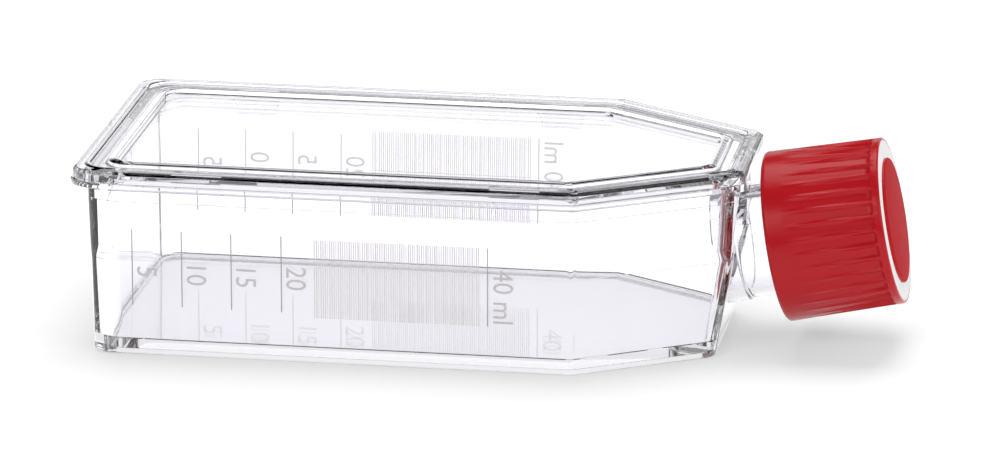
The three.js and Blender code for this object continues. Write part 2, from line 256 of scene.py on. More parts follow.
def skin(rings, closed_path=False):
    """A closed skin: quads that join ring i to ring i + 1 point by point, and both end rings filled.

    All rings have the same number of points. With closed_path the last ring joins the first instead.
    """
    count, around = rings.shape[:2]
    index = np.arange(count * around).reshape(count, around)
    lower, upper = (index, np.roll(index, -1, 0)) if closed_path else (index[:-1], index[1:])
    quads = np.stack([lower, np.roll(lower, -1, 1), np.roll(upper, -1, 1), upper], 2).reshape(-1, 4)
    faces = quads.tolist()
    if not closed_path:
        faces += [index[0, ::-1].tolist(), index[-1].tolist()]
    return rings.reshape(-1, 3), faces


def arc(radius, start, end, steps=EDGE_STEPS):
    """Offsets (across, along) from its centre of an arc of a circle between two angles in degrees."""
    angle = np.radians(np.linspace(start, end, steps + 1))
    return radius * np.stack([np.cos(angle), np.sin(angle)], 1)


def combine(piece, other, operation):
    """Joins or cuts a piece with another closed mesh, which is used up."""
    modifier = piece.modifiers.new(operation.title(), "BOOLEAN")
    modifier.operation = operation
    modifier.solver = "EXACT"
    modifier.object = other
    evaluated = piece.evaluated_get(bpy.context.evaluated_depsgraph_get())
    result = bpy.data.meshes.new_from_object(evaluated)
    piece.modifiers.remove(modifier)
    old = piece.data
    piece.data = result
    result.name = piece.name
    bpy.data.meshes.remove(old)
    bpy.data.meshes.remove(other.data)


def weight_normals(piece):
    """Weights normals by face area, so that flat faces stay flat beside their rounded edges."""
    modifier = piece.modifiers.new("Flat faces first", "WEIGHTED_NORMAL")
    modifier.keep_sharp = True
    modifier.weight = 100


def finish_clear(piece):
    """Shading and material of a clear moulding, after its last join or cut."""
    soften(piece)
    weight_normals(piece)
    piece.data.materials.clear()
    piece.data.materials.append(make_material("crystal polystyrene", crystal_polystyrene))


# ---- the plan outline -----------------------------------------------------------------------------


def unit(vectors):
    """Vectors scaled to length 1."""
    return vectors / np.linalg.norm(vectors, axis=-1, keepdims=True)


def plan_rings(insets, radii, heights):
    """Rounded outlines of the plan, one ring a row.

    insets and radii are rows of (back, side, neck) and (back, bend, neck). Each side of the plan moves
    inwards by its inset, square to itself, and each corner is an arc that touches both its sides.
    """
    plan = sizes("flask_plan")
    insets, radii = np.atleast_2d(insets), np.atleast_2d(radii)
    radii = np.broadcast_to(radii, insets.shape)
    back, side, neck = insets.T
    plate_length = PLATE_HIGH[0] - PLATE_LOW[0]
    half_width = (PLATE_HIGH[1] - PLATE_LOW[1]) / 2
    slope = (half_width - plan.neck_end / 2) / (plate_length - plan.straight)
    shift = side * math.hypot(1, slope)
    bend_x = plan.straight + (side - shift) / slope
    neck_x = plate_length - neck
    neck_half = half_width - shift - slope * (neck_x - plan.straight)
    half = half_width - side
    x = np.stack([back, bend_x, neck_x, neck_x, bend_x, back], 1)
    y = np.stack([-half, -half, -neck_half, neck_half, half, half], 1)
    corner = np.stack([x, y], 2)
    before = unit(np.roll(corner, 1, 1) - corner)
    after = unit(np.roll(corner, -1, 1) - corner)
    half_angle = np.arccos((before * after).sum(2)) / 2
    radius = radii[:, [0, 1, 2, 2, 1, 0]]
    centre = corner + unit(before + after) * (radius / np.sin(half_angle))[..., None]
    start = corner + before * (radius / np.tan(half_angle))[..., None] - centre
    turn = (math.pi - 2 * half_angle)[..., None] * np.linspace(0, 1, CORNER_STEPS + 1)
    cos, sin = np.cos(turn), np.sin(turn)
    x = start[..., :1] * cos - start[..., 1:] * sin + centre[..., :1] + PLATE_LOW[0]
    y = start[..., :1] * sin + start[..., 1:] * cos + centre[..., 1:]
    z = np.broadcast_to(np.asarray(heights, float)[:, None, None], x.shape)
    return np.stack([x, y, z], 3).reshape(len(insets), -1, 3)


def wall_insets(height, below_ledge):
    """Insets (back, side, neck) of the tray's outer walls at a height."""
    tray = sizes("flask_tray")
    flange_bottom = tray.seam - tray.flange
    drop = math.tan(tray.draft) * (flange_bottom - height)
    neck = tray.neck_overhang + math.tan(tray.neck_draft) * (flange_bottom - max(height, tray.parting))
    if below_ledge:
        neck += math.tan(tray.lower_draft) * (tray.parting - height) - tray.ledge
    return np.array([tray.back_overhang + drop, tray.side_overhang + drop, neck])


# ---- tray and neck --------------------------------------------------------------------------------

# Corner radii of the walls at the back, the bend and the neck end, outside and inside
WALL_CORNERS = np.array([2.4, 1.0, 1.6])
INNER_CORNERS = np.array([2.8, 1.6, 2.0])

# Small edges: round the hollow under the floor, outside and inside of the ledge, under the flange, on
# both sides of the seam, and round the tray's mouth
HOLLOW_EDGE = 0.03
LEDGE_EDGE, LEDGE_ROOT = 0.06, 0.02
FLANGE_FILLET = 0.4
SEAM_EDGE = 0.14
MOUTH_EDGE = 0.15

# The wall is thicker by this below the plate's tabs, and the floor's bevel runs this far for its rise
REBATE = 0.1
FLOOR_BEVEL_RUN = 2.15


def plate_corners():
    """Corner radii of the plate's outline at the back, the bend and the neck end."""
    plan = sizes("flask_plan")
    return np.array([plan.corner_back, plan.corner_bend, plan.corner_neck])


def plan_skin(rows):
    """One closed skin through rings of the plan, from rows of (insets, corner radii, height)."""
    insets, radii, heights = (np.array(column) for column in zip(*rows))
    return skin(plan_rings(insets, radii, heights))


def wall_row(inset, height, corners, below_ledge):
    """A row that follows the tray's leaning walls, moved inwards by an inset."""
    return wall_insets(height, below_ledge) + inset, corners, height


def foot_rows(tray):
    """The hollow under the floor, the foot's flat face and an arc round the tray's bottom edge."""
    hollow = wall_insets(0, True) + tray.foot_width
    edge = [
        wall_row(tray.foot_edge - across, tray.foot_edge + along, WALL_CORNERS, True)
        for across, along in arc(tray.foot_edge, 270, 360)
    ]
    return [
        (hollow + HOLLOW_EDGE, INNER_CORNERS, tray.foot_height),
        (hollow, INNER_CORNERS, tray.foot_height - HOLLOW_EDGE),
        (hollow, INNER_CORNERS, HOLLOW_EDGE),
        (hollow - HOLLOW_EDGE, INNER_CORNERS, 0),
        *edge,
    ]


def outside_rows(tray):
    """The walls' outside: up to the ledge, over it, and up to an arc that fills the flange's root."""
    root = tray.seam - tray.flange - tray.flange_chamfer
    fillet = [
        wall_row(-FLANGE_FILLET - across, root - FLANGE_FILLET + along, WALL_CORNERS, False)
        for across, along in arc(FLANGE_FILLET, 180, 90, 3)[1:]
    ]
    return [
        wall_row(0, tray.parting - LEDGE_EDGE, WALL_CORNERS, True),
        wall_row(LEDGE_EDGE, tray.parting, WALL_CORNERS, True),
        wall_row(-LEDGE_ROOT, tray.parting + LEDGE_ROOT, WALL_CORNERS, False),
        *fillet,
    ]


def flange_rows(tray):
    """The flange's edge, bevelled below and above. The slope from the wall's fillet is its underside."""
    flange = np.array([-tray.flange_proud, -tray.flange_proud, tray.flange_setback])
    bottom = tray.seam - tray.flange
    corners = plate_corners()
    return [
        (flange + SEAM_EDGE, corners, bottom),
        (flange, corners, bottom + SEAM_EDGE),
        (flange, corners, tray.seam - SEAM_EDGE),
        (flange + SEAM_EDGE, corners, tray.seam),
    ]


def inside_rows(tray):
    """The walls' inside: an arc round the mouth, the rebate behind the tabs, the ledge and the floor."""
    mouth = wall_insets(tray.seam, False) + tray.wall
    rebate = tray.seam - sizes("flask_plate").tab_drop
    floor_top = tray.foot_height + tray.floor
    rim = [
        (mouth - MOUTH_EDGE - across, INNER_CORNERS, tray.seam - MOUTH_EDGE + along)
        for across, along in arc(MOUTH_EDGE, 90, 180, 3)
    ]
    return [
        *rim,
        wall_row(tray.wall, rebate + REBATE, INNER_CORNERS, False),
        wall_row(tray.wall + REBATE, rebate, INNER_CORNERS, False),
        wall_row(tray.wall + REBATE, tray.parting + tray.wall, INNER_CORNERS, False),
        wall_row(tray.wall, tray.parting, INNER_CORNERS, True),
        wall_row(tray.wall, floor_top + tray.floor_bevel, INNER_CORNERS, True),
        wall_row(tray.wall + FLOOR_BEVEL_RUN * tray.floor_bevel, floor_top, INNER_CORNERS, True),
    ]


def tray_surface():
    """The tray as one closed skin: under the foot, up the outside, over the flange and down inside."""
    tray = sizes("flask_tray")
    return plan_skin([*foot_rows(tray), *outside_rows(tray), *flange_rows(tray), *inside_rows(tray)])


def onto_neck(points):
    """Points modelled round +Z from the neck's root, laid onto the neck's axis."""
    along = NECK_AXIS
    down = np.array([along[2], 0, -along[0]])
    side = np.cross(along, down)
    return NECK_ROOT + points[..., :1] * down + points[..., 1:2] * side + points[..., 2:] * along


def round_angles(steps):
    """Angles of points spread evenly round a circle."""
    return np.linspace(0, 2 * math.pi, steps, endpoint=False)


def turned_skin(parts, steps, closed_path=False):
    """A turned surface round the neck's axis, through parts of (radius, height) in order.

    A part's height is a profile. Its radius is a profile too, or a grid with a column per angle.
    """
    grids = [np.reshape(radius, (len(radius), -1)) for radius, _ in parts]
    radius = np.concatenate([np.broadcast_to(grid, (len(grid), steps)) for grid in grids])
    height = np.concatenate([height for _, height in parts])
    height = np.broadcast_to(height[:, None], radius.shape)
    angle = round_angles(steps)
    rings = np.stack([radius * np.cos(angle), radius * np.sin(angle), height], 2)
    return skin(onto_neck(rings), closed_path)


# The threads: lead, the share of a turn over which a ridge fades out, spacing of the rings that carry
# it, and its widths at root and crest
THREAD_LEAD = 4.0
THREAD_FADE = 1 / 8
THREAD_RING_STEP = 0.16
NECK_THREAD_ROOT, NECK_THREAD_CREST = 1.9, 0.8
CAP_THREAD_ROOT, CAP_THREAD_CREST = 1.5, 0.6

# The side of the neck that faces up, as an angle round its axis: the lug's place and the thread's start
NECK_TOP = math.pi

# The neck's skin starts inside the end wall. Its bore is cut from inside the tray to past the lip.
NECK_BURIED = 3.0
BORE_START, BORE_PAST_LIP = -7.5, 2

# The stop lug: points across it, its foot inside the neck's wall, and its bevel
LUG_POINTS = 17
LUG_FOOT = 0.3
LUG_BEVEL = 0.25


def thread_profile(height, start, start_angle, turns, root_width, crest_width, steps):
    """Height, from 0 to 1, of a right-handed thread ridge over a grid of heights and angles.

    The ridge's middle climbs one lead a turn. Across the ridge the height is a trapezoid with eased
    edges, and along it the height fades in and out at both ends.
    """
    height = height[:, None]
    turn = (round_angles(steps)[None] - start_angle) / (2 * math.pi) % 1
    lap = np.round((height - start) / THREAD_LEAD - turn)
    position = turn + lap
    apart = np.abs(height - start - position * THREAD_LEAD)
    flank = np.clip((root_width / 2 - apart) / (root_width - crest_width) * 2, 0, 1)
    fade = np.clip(np.minimum(position, turns - position) / THREAD_FADE, 0, 1)
    return (3 * flank**2 - 2 * flank**3) * (3 * fade**2 - 2 * fade**3)


def neck_surface():
    """The neck's outside: shoulder arc, straight wall with the thread ridge on it, and the lip's arc."""
    neck = sizes("flask_neck")
    shoulder = arc(neck.shoulder, 270, 180)[:-1]
    spread = (neck.root - neck.radius) / neck.shoulder
    height = np.arange(neck.shoulder, neck.length - neck.lip, THREAD_RING_STEP)
    ridge = thread_profile(
        height, neck.thread_start, NECK_TOP, neck.thread_turns, NECK_THREAD_ROOT, NECK_THREAD_CREST,
        NECK_STEPS,
    )
    lip = arc(neck.lip, 0, 90)
    parts = (
        ([neck.root], [-NECK_BURIED]),
        (neck.radius + (shoulder[:, 0] + neck.shoulder) * spread, shoulder[:, 1] + neck.shoulder),
        (neck.radius + neck.thread_height * ridge, height),
        (neck.radius - neck.lip + lip[:, 0], neck.length - neck.lip + lip[:, 1]),
    )
    return turned_skin(parts, NECK_STEPS)


def lug_surface():
    """The stop lug: a slice of a ring on the neck's top, from inside the neck's wall to its crest."""
    neck = sizes("flask_neck")
    half = neck.lug_width / 2 / neck.lug_radius
    angle = NECK_TOP + np.linspace(-half, half, LUG_POINTS)
    inner, outer = neck.bore + LUG_FOOT, neck.lug_radius
    start, end = neck.lug_start, neck.lug_start + neck.lug_length
    radius = np.array([inner, outer - LUG_BEVEL, outer, outer, outer - LUG_BEVEL, inner])
    rise = np.array([start, start, start + LUG_BEVEL, end - LUG_BEVEL, end, end])
    rings = np.stack([
        radius[None] * np.cos(angle)[:, None], radius[None] * np.sin(angle)[:, None],
        np.broadcast_to(rise, (len(angle), len(rise))),
    ], 2)
    return skin(onto_neck(rings))


def bore_surface():
    """The space inside the neck, widening in an arc at the lip's inner edge."""
    neck = sizes("flask_neck")
    lip = arc(neck.lip, 180, 90)[1:]
    parts = (
        ([neck.bore, neck.bore], [BORE_START, neck.length - neck.lip]),
        (neck.bore + neck.lip + lip[:, 0], neck.length - neck.lip + lip[:, 1]),
        ([neck.bore + neck.lip], [neck.length + BORE_PAST_LIP]),
    )
    return turned_skin(parts, NECK_STEPS)


class FLASK_OT_tray(bpy.types.Operator):
    """Build the clear tray with its canted, threaded neck."""

    bl_idname = "flask.tray"
    bl_label = "Tray and neck"

    def execute(self, context):
        tray = new_piece("flask_shell", *tray_surface(), "flask", "clear_polystyrene")
        combine(tray, new_piece("neck", *neck_surface()), "UNION")
        combine(tray, new_piece("lug", *lug_surface()), "UNION")
        combine(tray, new_piece("bore", *bore_surface()), "DIFFERENCE")
        finish_clear(tray)
        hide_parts("flask_body")
        return {"FINISHED"}


# ---- top plate ------------------------------------------------------------------------------------

# The plate floats this far over the flange. Its tabs stand at these distances from its back end.
SEAM_GAP = 0.02
TAB_STATIONS = (15.55, 54.7)

# A tab's root is buried this deep in the plate, and it hangs this far inside the wall
TAB_BURIED = 0.4
TAB_CLEARANCE = 0.3

# Eased edges of the plug under the panel: reach along its bottom, reach up its root, and the cut between
PLUG_REACH, PLUG_ROOT, PLUG_CUT = 0.3, 0.2, 0.06

# The rim: easing of its bevel. Then, outwards from the rim's inner edge, the foot of the slope up to its
# crest and the crest's far and near side, the crease at that foot, and the edge of the step to the band.
RIM_EASE, RIM_CUT = 0.05, 0.03
CREST_SLOPE, CREST_FAR, CREST_NEAR = 0.6, 0.3, 0.1
CREST_CREASE = 0.01
STEP_EDGE = 0.06

# The bead: reach and height of the crease it rises from, width of its crest, and its edge. Then the
# fillet between the step down and the panel.
CREASE_FAR, CREASE_NEAR, CREASE_RISE = 0.3, 0.1, 0.015
BEAD_CREST = 0.15
BEAD_EDGE = 0.05
PANEL_FILLET = 0.12


def plug_rows(plug, under, seam):
    """The plug under the panel: its flat bottom, its side, and the flat underside out to the edge."""
    return [
        (plug + PLUG_REACH, INNER_CORNERS, under),
        (plug + PLUG_CUT, INNER_CORNERS, under + PLUG_CUT),
        (plug, INNER_CORNERS, under + PLUG_REACH),
        (plug, INNER_CORNERS, seam - PLUG_ROOT),
        (plug - PLUG_CUT, INNER_CORNERS, seam - PLUG_CUT),
        (plug - PLUG_REACH, INNER_CORNERS, seam),
        (np.full(3, SEAM_EDGE), plate_corners(), seam),
    ]


def rim_rows(plate, seam, top, band_top):
    """The plate's edge, its bevel, and the rim, which rises to a crest before the step to the band."""
    edge_top = top - plate.rim_rise
    bevel_foot = edge_top - plate.rim_edge
    edge = (
        (0, seam + SEAM_EDGE),
        (0, bevel_foot),
        (RIM_EASE, bevel_foot + 2 * RIM_EASE),
    )
    crest = (
        (plate.rim_edge - RIM_EASE, edge_top - RIM_CUT),
        (plate.rim_edge + RIM_EASE, edge_top),
        (plate.rim - CREST_SLOPE, edge_top),
        (plate.rim - CREST_SLOPE + RIM_EASE, edge_top + CREST_CREASE),
        (plate.rim - CREST_FAR, top),
        (plate.rim - CREST_NEAR, top),
        (plate.rim, top - STEP_EDGE),
        (plate.rim + STEP_EDGE, band_top),
    )
    return [
        *((np.full(3, inset), plate_corners(), height) for inset, height in edge),
        *((np.full(3, inset), INNER_CORNERS, height) for inset, height in crest),
    ]


def band_rows(plate, band, band_top, panel_top):
    """The band with the bead along its inner edge, and the step down, which ends in an arc at the panel."""
    bead_foot = band - plate.bead_width
    bead_top = band_top + plate.bead
    fillet = [
        (band + PANEL_FILLET + across, INNER_CORNERS, panel_top + PANEL_FILLET + along)
        for across, along in arc(PANEL_FILLET, 180, 270, 4)
    ]
    return [
        (bead_foot - CREASE_FAR, INNER_CORNERS, band_top),
        (bead_foot - CREASE_NEAR, INNER_CORNERS, band_top + CREASE_RISE),
        (band - BEAD_CREST, INNER_CORNERS, bead_top),
        (band - BEAD_EDGE, INNER_CORNERS, bead_top),
        (band, INNER_CORNERS, bead_top - BEAD_EDGE),
        *fillet,
    ]


def plate_surface():
    """The top plate as one closed skin: plug, underside, edge, rim, band, step and recessed panel."""
    plate = sizes("flask_plate")
    top = PLATE_HIGH[2]
    seam = sizes("flask_tray").seam + SEAM_GAP
    band_top = top - plate.band_drop
    panel_top = band_top - plate.panel_drop
    band = np.array([plate.band_back, plate.band_side, plate.band_neck])
    return plan_skin([
        *plug_rows(band - plate.panel, panel_top - plate.panel, seam),
        *rim_rows(plate, seam, top, band_top),
        *band_rows(plate, band, band_top, panel_top),
    ])


def tab_surface(station, side):
    """A locating tab: a trapezoid plate that hangs down just inside a long wall."""
    plate, tray = sizes("flask_plate"), sizes("flask_tray")
    tip = tray.seam - plate.tab_drop
    across = np.array([-0.5, -0.5, 0.5, 0.5])
    widths = np.array([plate.tab_tip, plate.tab_root, plate.tab_root])
    heights = np.array([tip, tray.seam, tray.seam + TAB_BURIED])
    outer = PLATE_HIGH[1] - wall_insets(tip, False)[1] - tray.wall - TAB_CLEARANCE
    x = PLATE_LOW[0] + station + across * widths[:, None]
    y = side * (outer - plate.tab * np.array([0, 1, 1, 0]))
    if side > 0:
        x, y = x[:, ::-1], y[::-1]
    y = np.broadcast_to(y, x.shape)
    z = np.broadcast_to(heights[:, None], x.shape)
    return skin(np.stack([x, y, z], 2))


class FLASK_OT_plate(bpy.types.Operator):
    """Build the clear top plate with its stacking band and locating tabs."""

    bl_idname = "flask.plate"
    bl_label = "Top plate"

    def execute(self, context):
        plate = new_piece("stacking_plate", *plate_surface(), "flask", "clear_polystyrene")
        for station in TAB_STATIONS:
            for side in (-1, 1):
                combine(plate, new_piece("tab", *tab_surface(station, side)), "UNION")
        finish_clear(plate)
        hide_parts("top_plate")
        return {"FINISHED"}


# ---- screw cap ------------------------------------------------------------------------------------

# Radius of the small flat that closes a turned end at the axis, and the angle up to which edges are smooth
POLE_RADIUS = 0.4
CAP_SMOOTH_ANGLE = 35

# The hollow under the disc, with the bevel at its top and the shallower one at its mouth
HOLLOW_RADIUS, HOLLOW_DEPTH = 5.0, 0.9
HOLLOW_BEVEL, HOLLOW_MOUTH = 0.2, 0.1

# Clearances to the neck: web over the lip, seal ring round the neck, thread ridge beside thread ridge
LIP_GAP, SEAL_GAP, THREAD_GAP = 0.3, 0.3, 0.35

# The seal ring: its top below the web, its height and its bevel, and the chamfer of the bore at the web
SEAL_DROP, SEAL_HEIGHT, SEAL_BEVEL = 1.1, 0.8, 0.2
BORE_CHAMFER = 0.3

# The cap's thread: height of its ridge, start and end above the open end, and turns
CAP_THREAD_HEIGHT, CAP_THREAD_START, CAP_THREAD_END, CAP_THREAD_TURNS = 1.35, 2.3, 0.6, 1.5

# The open end's chamfer inside and its arc outside
MOUTH_CHAMFER, MOUTH_ARC = 0.4, 0.5

# The ribbed skirt: where its rows start and how many there are, then the rows in which the ribs run out
# into the end band, as (share of the rib's height along, share of it that the lands are still sunk)
SKIRT_START, SKIRT_ROWS = 0.9, 40
RIB_RUN_OUT = np.array([(0.25, 0.85), (0.55, 0.5), (0.8, 0.15), (1, 0)])

# The closed end: its outer edge, the membrane's recess with its clearance and edge, and the disc's edge
END_EDGE = 0.32
RECESS_GAP, RECESS_CHAMFER, RECESS_EDGE = 0.02, 0.04, 0.05
DISC_EDGE = 0.25


def cap_inside(cap, neck, web):
    """Parts inside the cap, from the axis down to the mouth: hollow, web, seal ring, thread and chamfer."""
    seal = neck.radius + SEAL_GAP
    seal_top = web - SEAL_DROP
    seal_end = seal_top - SEAL_HEIGHT
    thread_top = seal_end - (cap.bore - seal)
    height = np.arange(thread_top, CAP_THREAD_END, -THREAD_RING_STEP)
    offset = NECK_THREAD_ROOT / 2 + THREAD_GAP
    turns_on = (CAP_THREAD_START + cap.stand_off + offset - neck.thread_start) / THREAD_LEAD
    ridge = thread_profile(
        height, CAP_THREAD_START, NECK_TOP + turns_on * 2 * math.pi, CAP_THREAD_TURNS,
        CAP_THREAD_ROOT, CAP_THREAD_CREST, cap.ribs * POINTS_PER_RIB,
    )
    return [
        ([POLE_RADIUS, HOLLOW_RADIUS - HOLLOW_BEVEL, HOLLOW_RADIUS],
         [web + HOLLOW_DEPTH, web + HOLLOW_DEPTH, web + HOLLOW_DEPTH - HOLLOW_BEVEL]),
        ([HOLLOW_RADIUS, HOLLOW_RADIUS + HOLLOW_BEVEL, cap.bore - BORE_CHAMFER, cap.bore],
         [web + HOLLOW_MOUTH, web, web, web - BORE_CHAMFER]),
        ([cap.bore, seal + SEAL_BEVEL, seal],
         [seal_top + SEAL_HEIGHT, seal_top + SEAL_BEVEL / 2, seal_top - SEAL_BEVEL / 2]),
        ([seal, seal + SEAL_BEVEL], [seal_end + SEAL_BEVEL, seal_end]),
        (cap.bore - CAP_THREAD_HEIGHT * ridge, height),
        ([cap.bore + MOUTH_CHAMFER], [0.0]),
    ]


def cap_skirt(cap):
    """Parts outside the cap: the arc at the open end and the ribbed skirt.

    A rib is a narrow raised-cosine ridge over the angle. The lands between the ribs sink evenly from
    the open end to the closed end, and come back up where the ribs run out.
    """
    mouth = arc(MOUTH_ARC, 270, 360)
    run_out_along, run_out_sunk = RIB_RUN_OUT.T
    along = np.linspace(SKIRT_START, cap.rib_end, SKIRT_ROWS)
    sunk = cap.rib_height * np.clip((along - cap.rib_start) / (cap.rib_end - cap.rib_start), 0, 1)
    along = np.concatenate([along, cap.rib_end + cap.rib_height * run_out_along])
    sunk = np.concatenate([sunk, cap.rib_height * run_out_sunk])
    base = cap.open_radius + (cap.end_radius - cap.open_radius) * along / cap.length
    angle = round_angles(cap.ribs * POINTS_PER_RIB)
    place = (angle * cap.ribs / (2 * math.pi) + 0.5) % 1 - 0.5
    rib_share = cap.rib_width / (2 * math.pi * cap.open_radius / cap.ribs)
    ridge = np.where(np.abs(place) < rib_share / 2, np.cos(math.pi * place / rib_share) ** 2, 0)
    return [
        (cap.open_radius - MOUTH_ARC + mouth[:, 0], MOUTH_ARC + mouth[:, 1]),
        (base[:, None] - sunk[:, None] * (1 - ridge[None]), along),
    ]


def cap_end(cap, web):
    """Parts of the closed end: an arc at its edge, the membrane's recess, and the raised disc's arc."""
    edge, disc_edge = arc(END_EDGE, 0, 90, 8), arc(DISC_EDGE, 0, 90, 4)[1:]
    recess = cap.membrane + RECESS_GAP
    recess_floor = web + cap.web
    disc_top = cap.length + cap.disc_proud
    return [
        (cap.end_radius - END_EDGE + edge[:, 0], cap.length - END_EDGE + edge[:, 1]),
        ([recess + RECESS_CHAMFER, recess, recess], [cap.length, cap.length - RECESS_EDGE, recess_floor]),
        ([cap.disc, cap.disc], [recess_floor, disc_top - DISC_EDGE]),
        (cap.disc - DISC_EDGE + disc_edge[:, 0], disc_top - DISC_EDGE + disc_edge[:, 1]),
        ([POLE_RADIUS], [disc_top]),
    ]


def cap_surface():
    """The cap as one closed turned skin. Heights count from its open end, and the web is its inner end."""
    cap, neck = sizes("flask_cap"), sizes("flask_neck")
    web = neck.length + LIP_GAP - cap.stand_off
    parts = [*cap_inside(cap, neck, web), *cap_skirt(cap), *cap_end(cap, web)]
    lifted = [(radius, np.add(height, cap.stand_off)) for radius, height in parts]
    return turned_skin(lifted, cap.ribs * POINTS_PER_RIB)


class FLASK_OT_cap(bpy.types.Operator):
    """Build the red screw cap with its ribs, thread, seal ring and raised disc."""

    bl_idname = "flask.cap"
    bl_label = "Screw cap"

    def execute(self, context):
        cap = new_piece("cap_shell", *cap_surface(), "cap", "red_polyethylene", CAP_SMOOTH_ANGLE)
        weight_normals(cap)
        # Keeps the white floor from turning pink under the cap
        cap.visible_diffuse = False
        cap.data.materials.append(make_material("red polyethylene", red_polyethylene))
        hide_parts("screw_cap")
        return {"FINISHED"}


# ---- vent membrane --------------------------------------------------------------------------------

MEMBRANE_STEPS = 240
MEMBRANE_THICKNESS, MEMBRANE_EDGE, MEMBRANE_GAP = 0.4, 0.05, 0.03


def membrane_surface():
    """A flat ring, bevelled on top, that fills the recess round the disc, flush with the cap's end."""
    cap = sizes("flask_cap")
    inner, outer = cap.disc + MEMBRANE_GAP, cap.membrane
    top = cap.length + cap.stand_off
    bottom, shoulder = top - MEMBRANE_THICKNESS, top - MEMBRANE_EDGE
    radius = [inner, outer, outer, outer - MEMBRANE_EDGE, inner + MEMBRANE_EDGE, inner]
    rise = [bottom, bottom, shoulder, top, top, shoulder]
    return turned_skin([(radius, rise)], MEMBRANE_STEPS, closed_path=True)


class FLASK_OT_membrane(bpy.types.Operator):
    """Build the white vent membrane in the cap's end."""

    bl_idname = "flask.membrane"
    bl_label = "Vent membrane"

    def execute(self, context):
        membrane = new_piece("filter_ring", *membrane_surface(), "cap", "white_membrane")
        membrane.data.materials.append(make_material("filter membrane", filter_membrane))
        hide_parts("vent_membrane")
        return {"FINISHED"}


# ---- print ----------------------------------------------------------------------------------------

# Millimetres from the plate's back end (x) and above the table (z). The marks stand at these x.
SCALE_MARKS = ((7.65, "5"), (13.8, "10"), (19.95, "15"), (26.16, "20"))
FULL_MARK, FULL_FIGURES = 51.6, "40 ml"
MARK_LOW, MARK_HIGH = 6.4, 16.1
MARK_HALF_WIDTH = 0.07

# Figures: their size, the stretch of their height, steps in each of their curves, and their place: how
# far past a mark they stand and the height of their middle
FIGURE_SIZE, FIGURE_STRETCH = 3.1, 1.16
FIGURE_CURVE_STEPS = 3
SCALE_FIGURES_AT = (0.6, 10.75)
FULL_FIGURES_AT = (0.7, 9.6)

# The writing field's corners, and its upright lines: their pitch, their width and how much it changes
# from line to line, as a worn screen leaves them, by the product of two waves, in radians a line
FIELD_LOW, FIELD_HIGH = (30.2, 5.85), (50.65, 15.85)
FIELD_PITCH, FIELD_LINE, FIELD_UNEVEN = 0.27, 0.13, 0.05
FIELD_WAVES = (2.3, 0.71)

# The far side's print is turned about this height. Ink is this thick and stands this far off the wall.
PRINT_MIDDLE = 11.6
INK = 0.012
INK_LIFT = 0.004


def ink_bars(lows, highs):
    """Flat bars of ink: boxes from rows of (x, z) corners, as (x, z, depth) points and faces."""
    lows, highs = np.atleast_2d(lows), np.atleast_2d(highs)
    x = np.stack([lows[:, 0], highs[:, 0], highs[:, 0], lows[:, 0]], 1)
    z = np.stack([lows[:, 1], lows[:, 1], highs[:, 1], highs[:, 1]], 1)
    front = np.stack([x, z, np.full(x.shape, INK)], 2)
    back = np.stack([x, z, np.zeros(x.shape)], 2)
    points = np.concatenate([front, back], 1).reshape(-1, 3)
    corners = np.array([[0, 1, 2, 3], [4, 7, 6, 5], [0, 4, 5, 1], [1, 5, 6, 2], [2, 6, 7, 3], [3, 7, 4, 0]])
    faces = (np.arange(len(lows))[:, None, None] * 8 + corners).reshape(-1, 4)
    return points, faces.tolist()


def ink_mark(x, low, high):
    """One upright mark of the scale."""
    return ink_bars([x - MARK_HALF_WIDTH, low], [x + MARK_HALF_WIDTH, high])


def ink_hatch():
    """The writing field's lines: bars side by side at one pitch, with uneven widths."""
    starts = np.arange(FIELD_LOW[0], FIELD_HIGH[0] - FIELD_LINE, FIELD_PITCH)
    quick, slow = (np.sin(wave * np.arange(len(starts))) for wave in FIELD_WAVES)
    widths = FIELD_LINE + FIELD_UNEVEN * quick * slow
    lows = np.stack([starts, np.full(starts.shape, FIELD_LOW[1])], 1)
    highs = np.stack([starts + widths, np.full(starts.shape, FIELD_HIGH[1])], 1)
    return ink_bars(lows, highs)


def ink_words(text, x, z):
    """Plain figures as (x, z, depth) points and faces, turned so that they stand when the cap is up."""
    curve = bpy.data.curves.new("figures", "FONT")
    curve.body = text
    curve.size = FIGURE_SIZE
    curve.align_x = "CENTER"
    curve.extrude = INK / 2
    curve.resolution_u = FIGURE_CURVE_STEPS
    carrier = bpy.data.objects.new("figures", curve)
    bpy.context.scene.collection.objects.link(carrier)
    mesh = bpy.data.meshes.new_from_object(carrier.evaluated_get(bpy.context.evaluated_depsgraph_get()))
    points = np.empty(len(mesh.vertices) * 3)
    mesh.vertices.foreach_get("co", points)
    points = points.reshape(-1, 3)
    faces = [list(face.vertices) for face in mesh.polygons]
    bpy.data.objects.remove(carrier)
    bpy.data.curves.remove(curve)
    bpy.data.meshes.remove(mesh)
    return np.stack([x + FIGURE_STRETCH * points[:, 1], z - points[:, 0], INK / 2 + points[:, 2]], 1), faces


def gather(parts):
    """Several (points, faces) as one."""
    points, faces, offset = [], [], 0
    for part_points, part_faces in parts:
        points.append(part_points)
        faces += [[offset + index for index in face] for face in part_faces]
        offset += len(part_points)
    return np.concatenate(points), faces


def onto_wall(points, side):
    """(x, z, depth) points laid on the outside of a long wall, which leans with its draft.

    The far side's print is the near side's turned half round about the flask's length, so it is upside
    down while the flask lies and reads the same way while the flask stands on its back end.
    """
    tray = sizes("flask_tray")
    z = points[:, 1] if side < 0 else 2 * PRINT_MIDDLE - points[:, 1]
    inset = wall_insets(0, False)[1] - math.tan(tray.draft) * z
    y = side * (PLATE_HIGH[1] - inset + points[:, 2] + INK_LIFT)
    return np.stack([PLATE_LOW[0] + points[:, 0], y, z], 1)


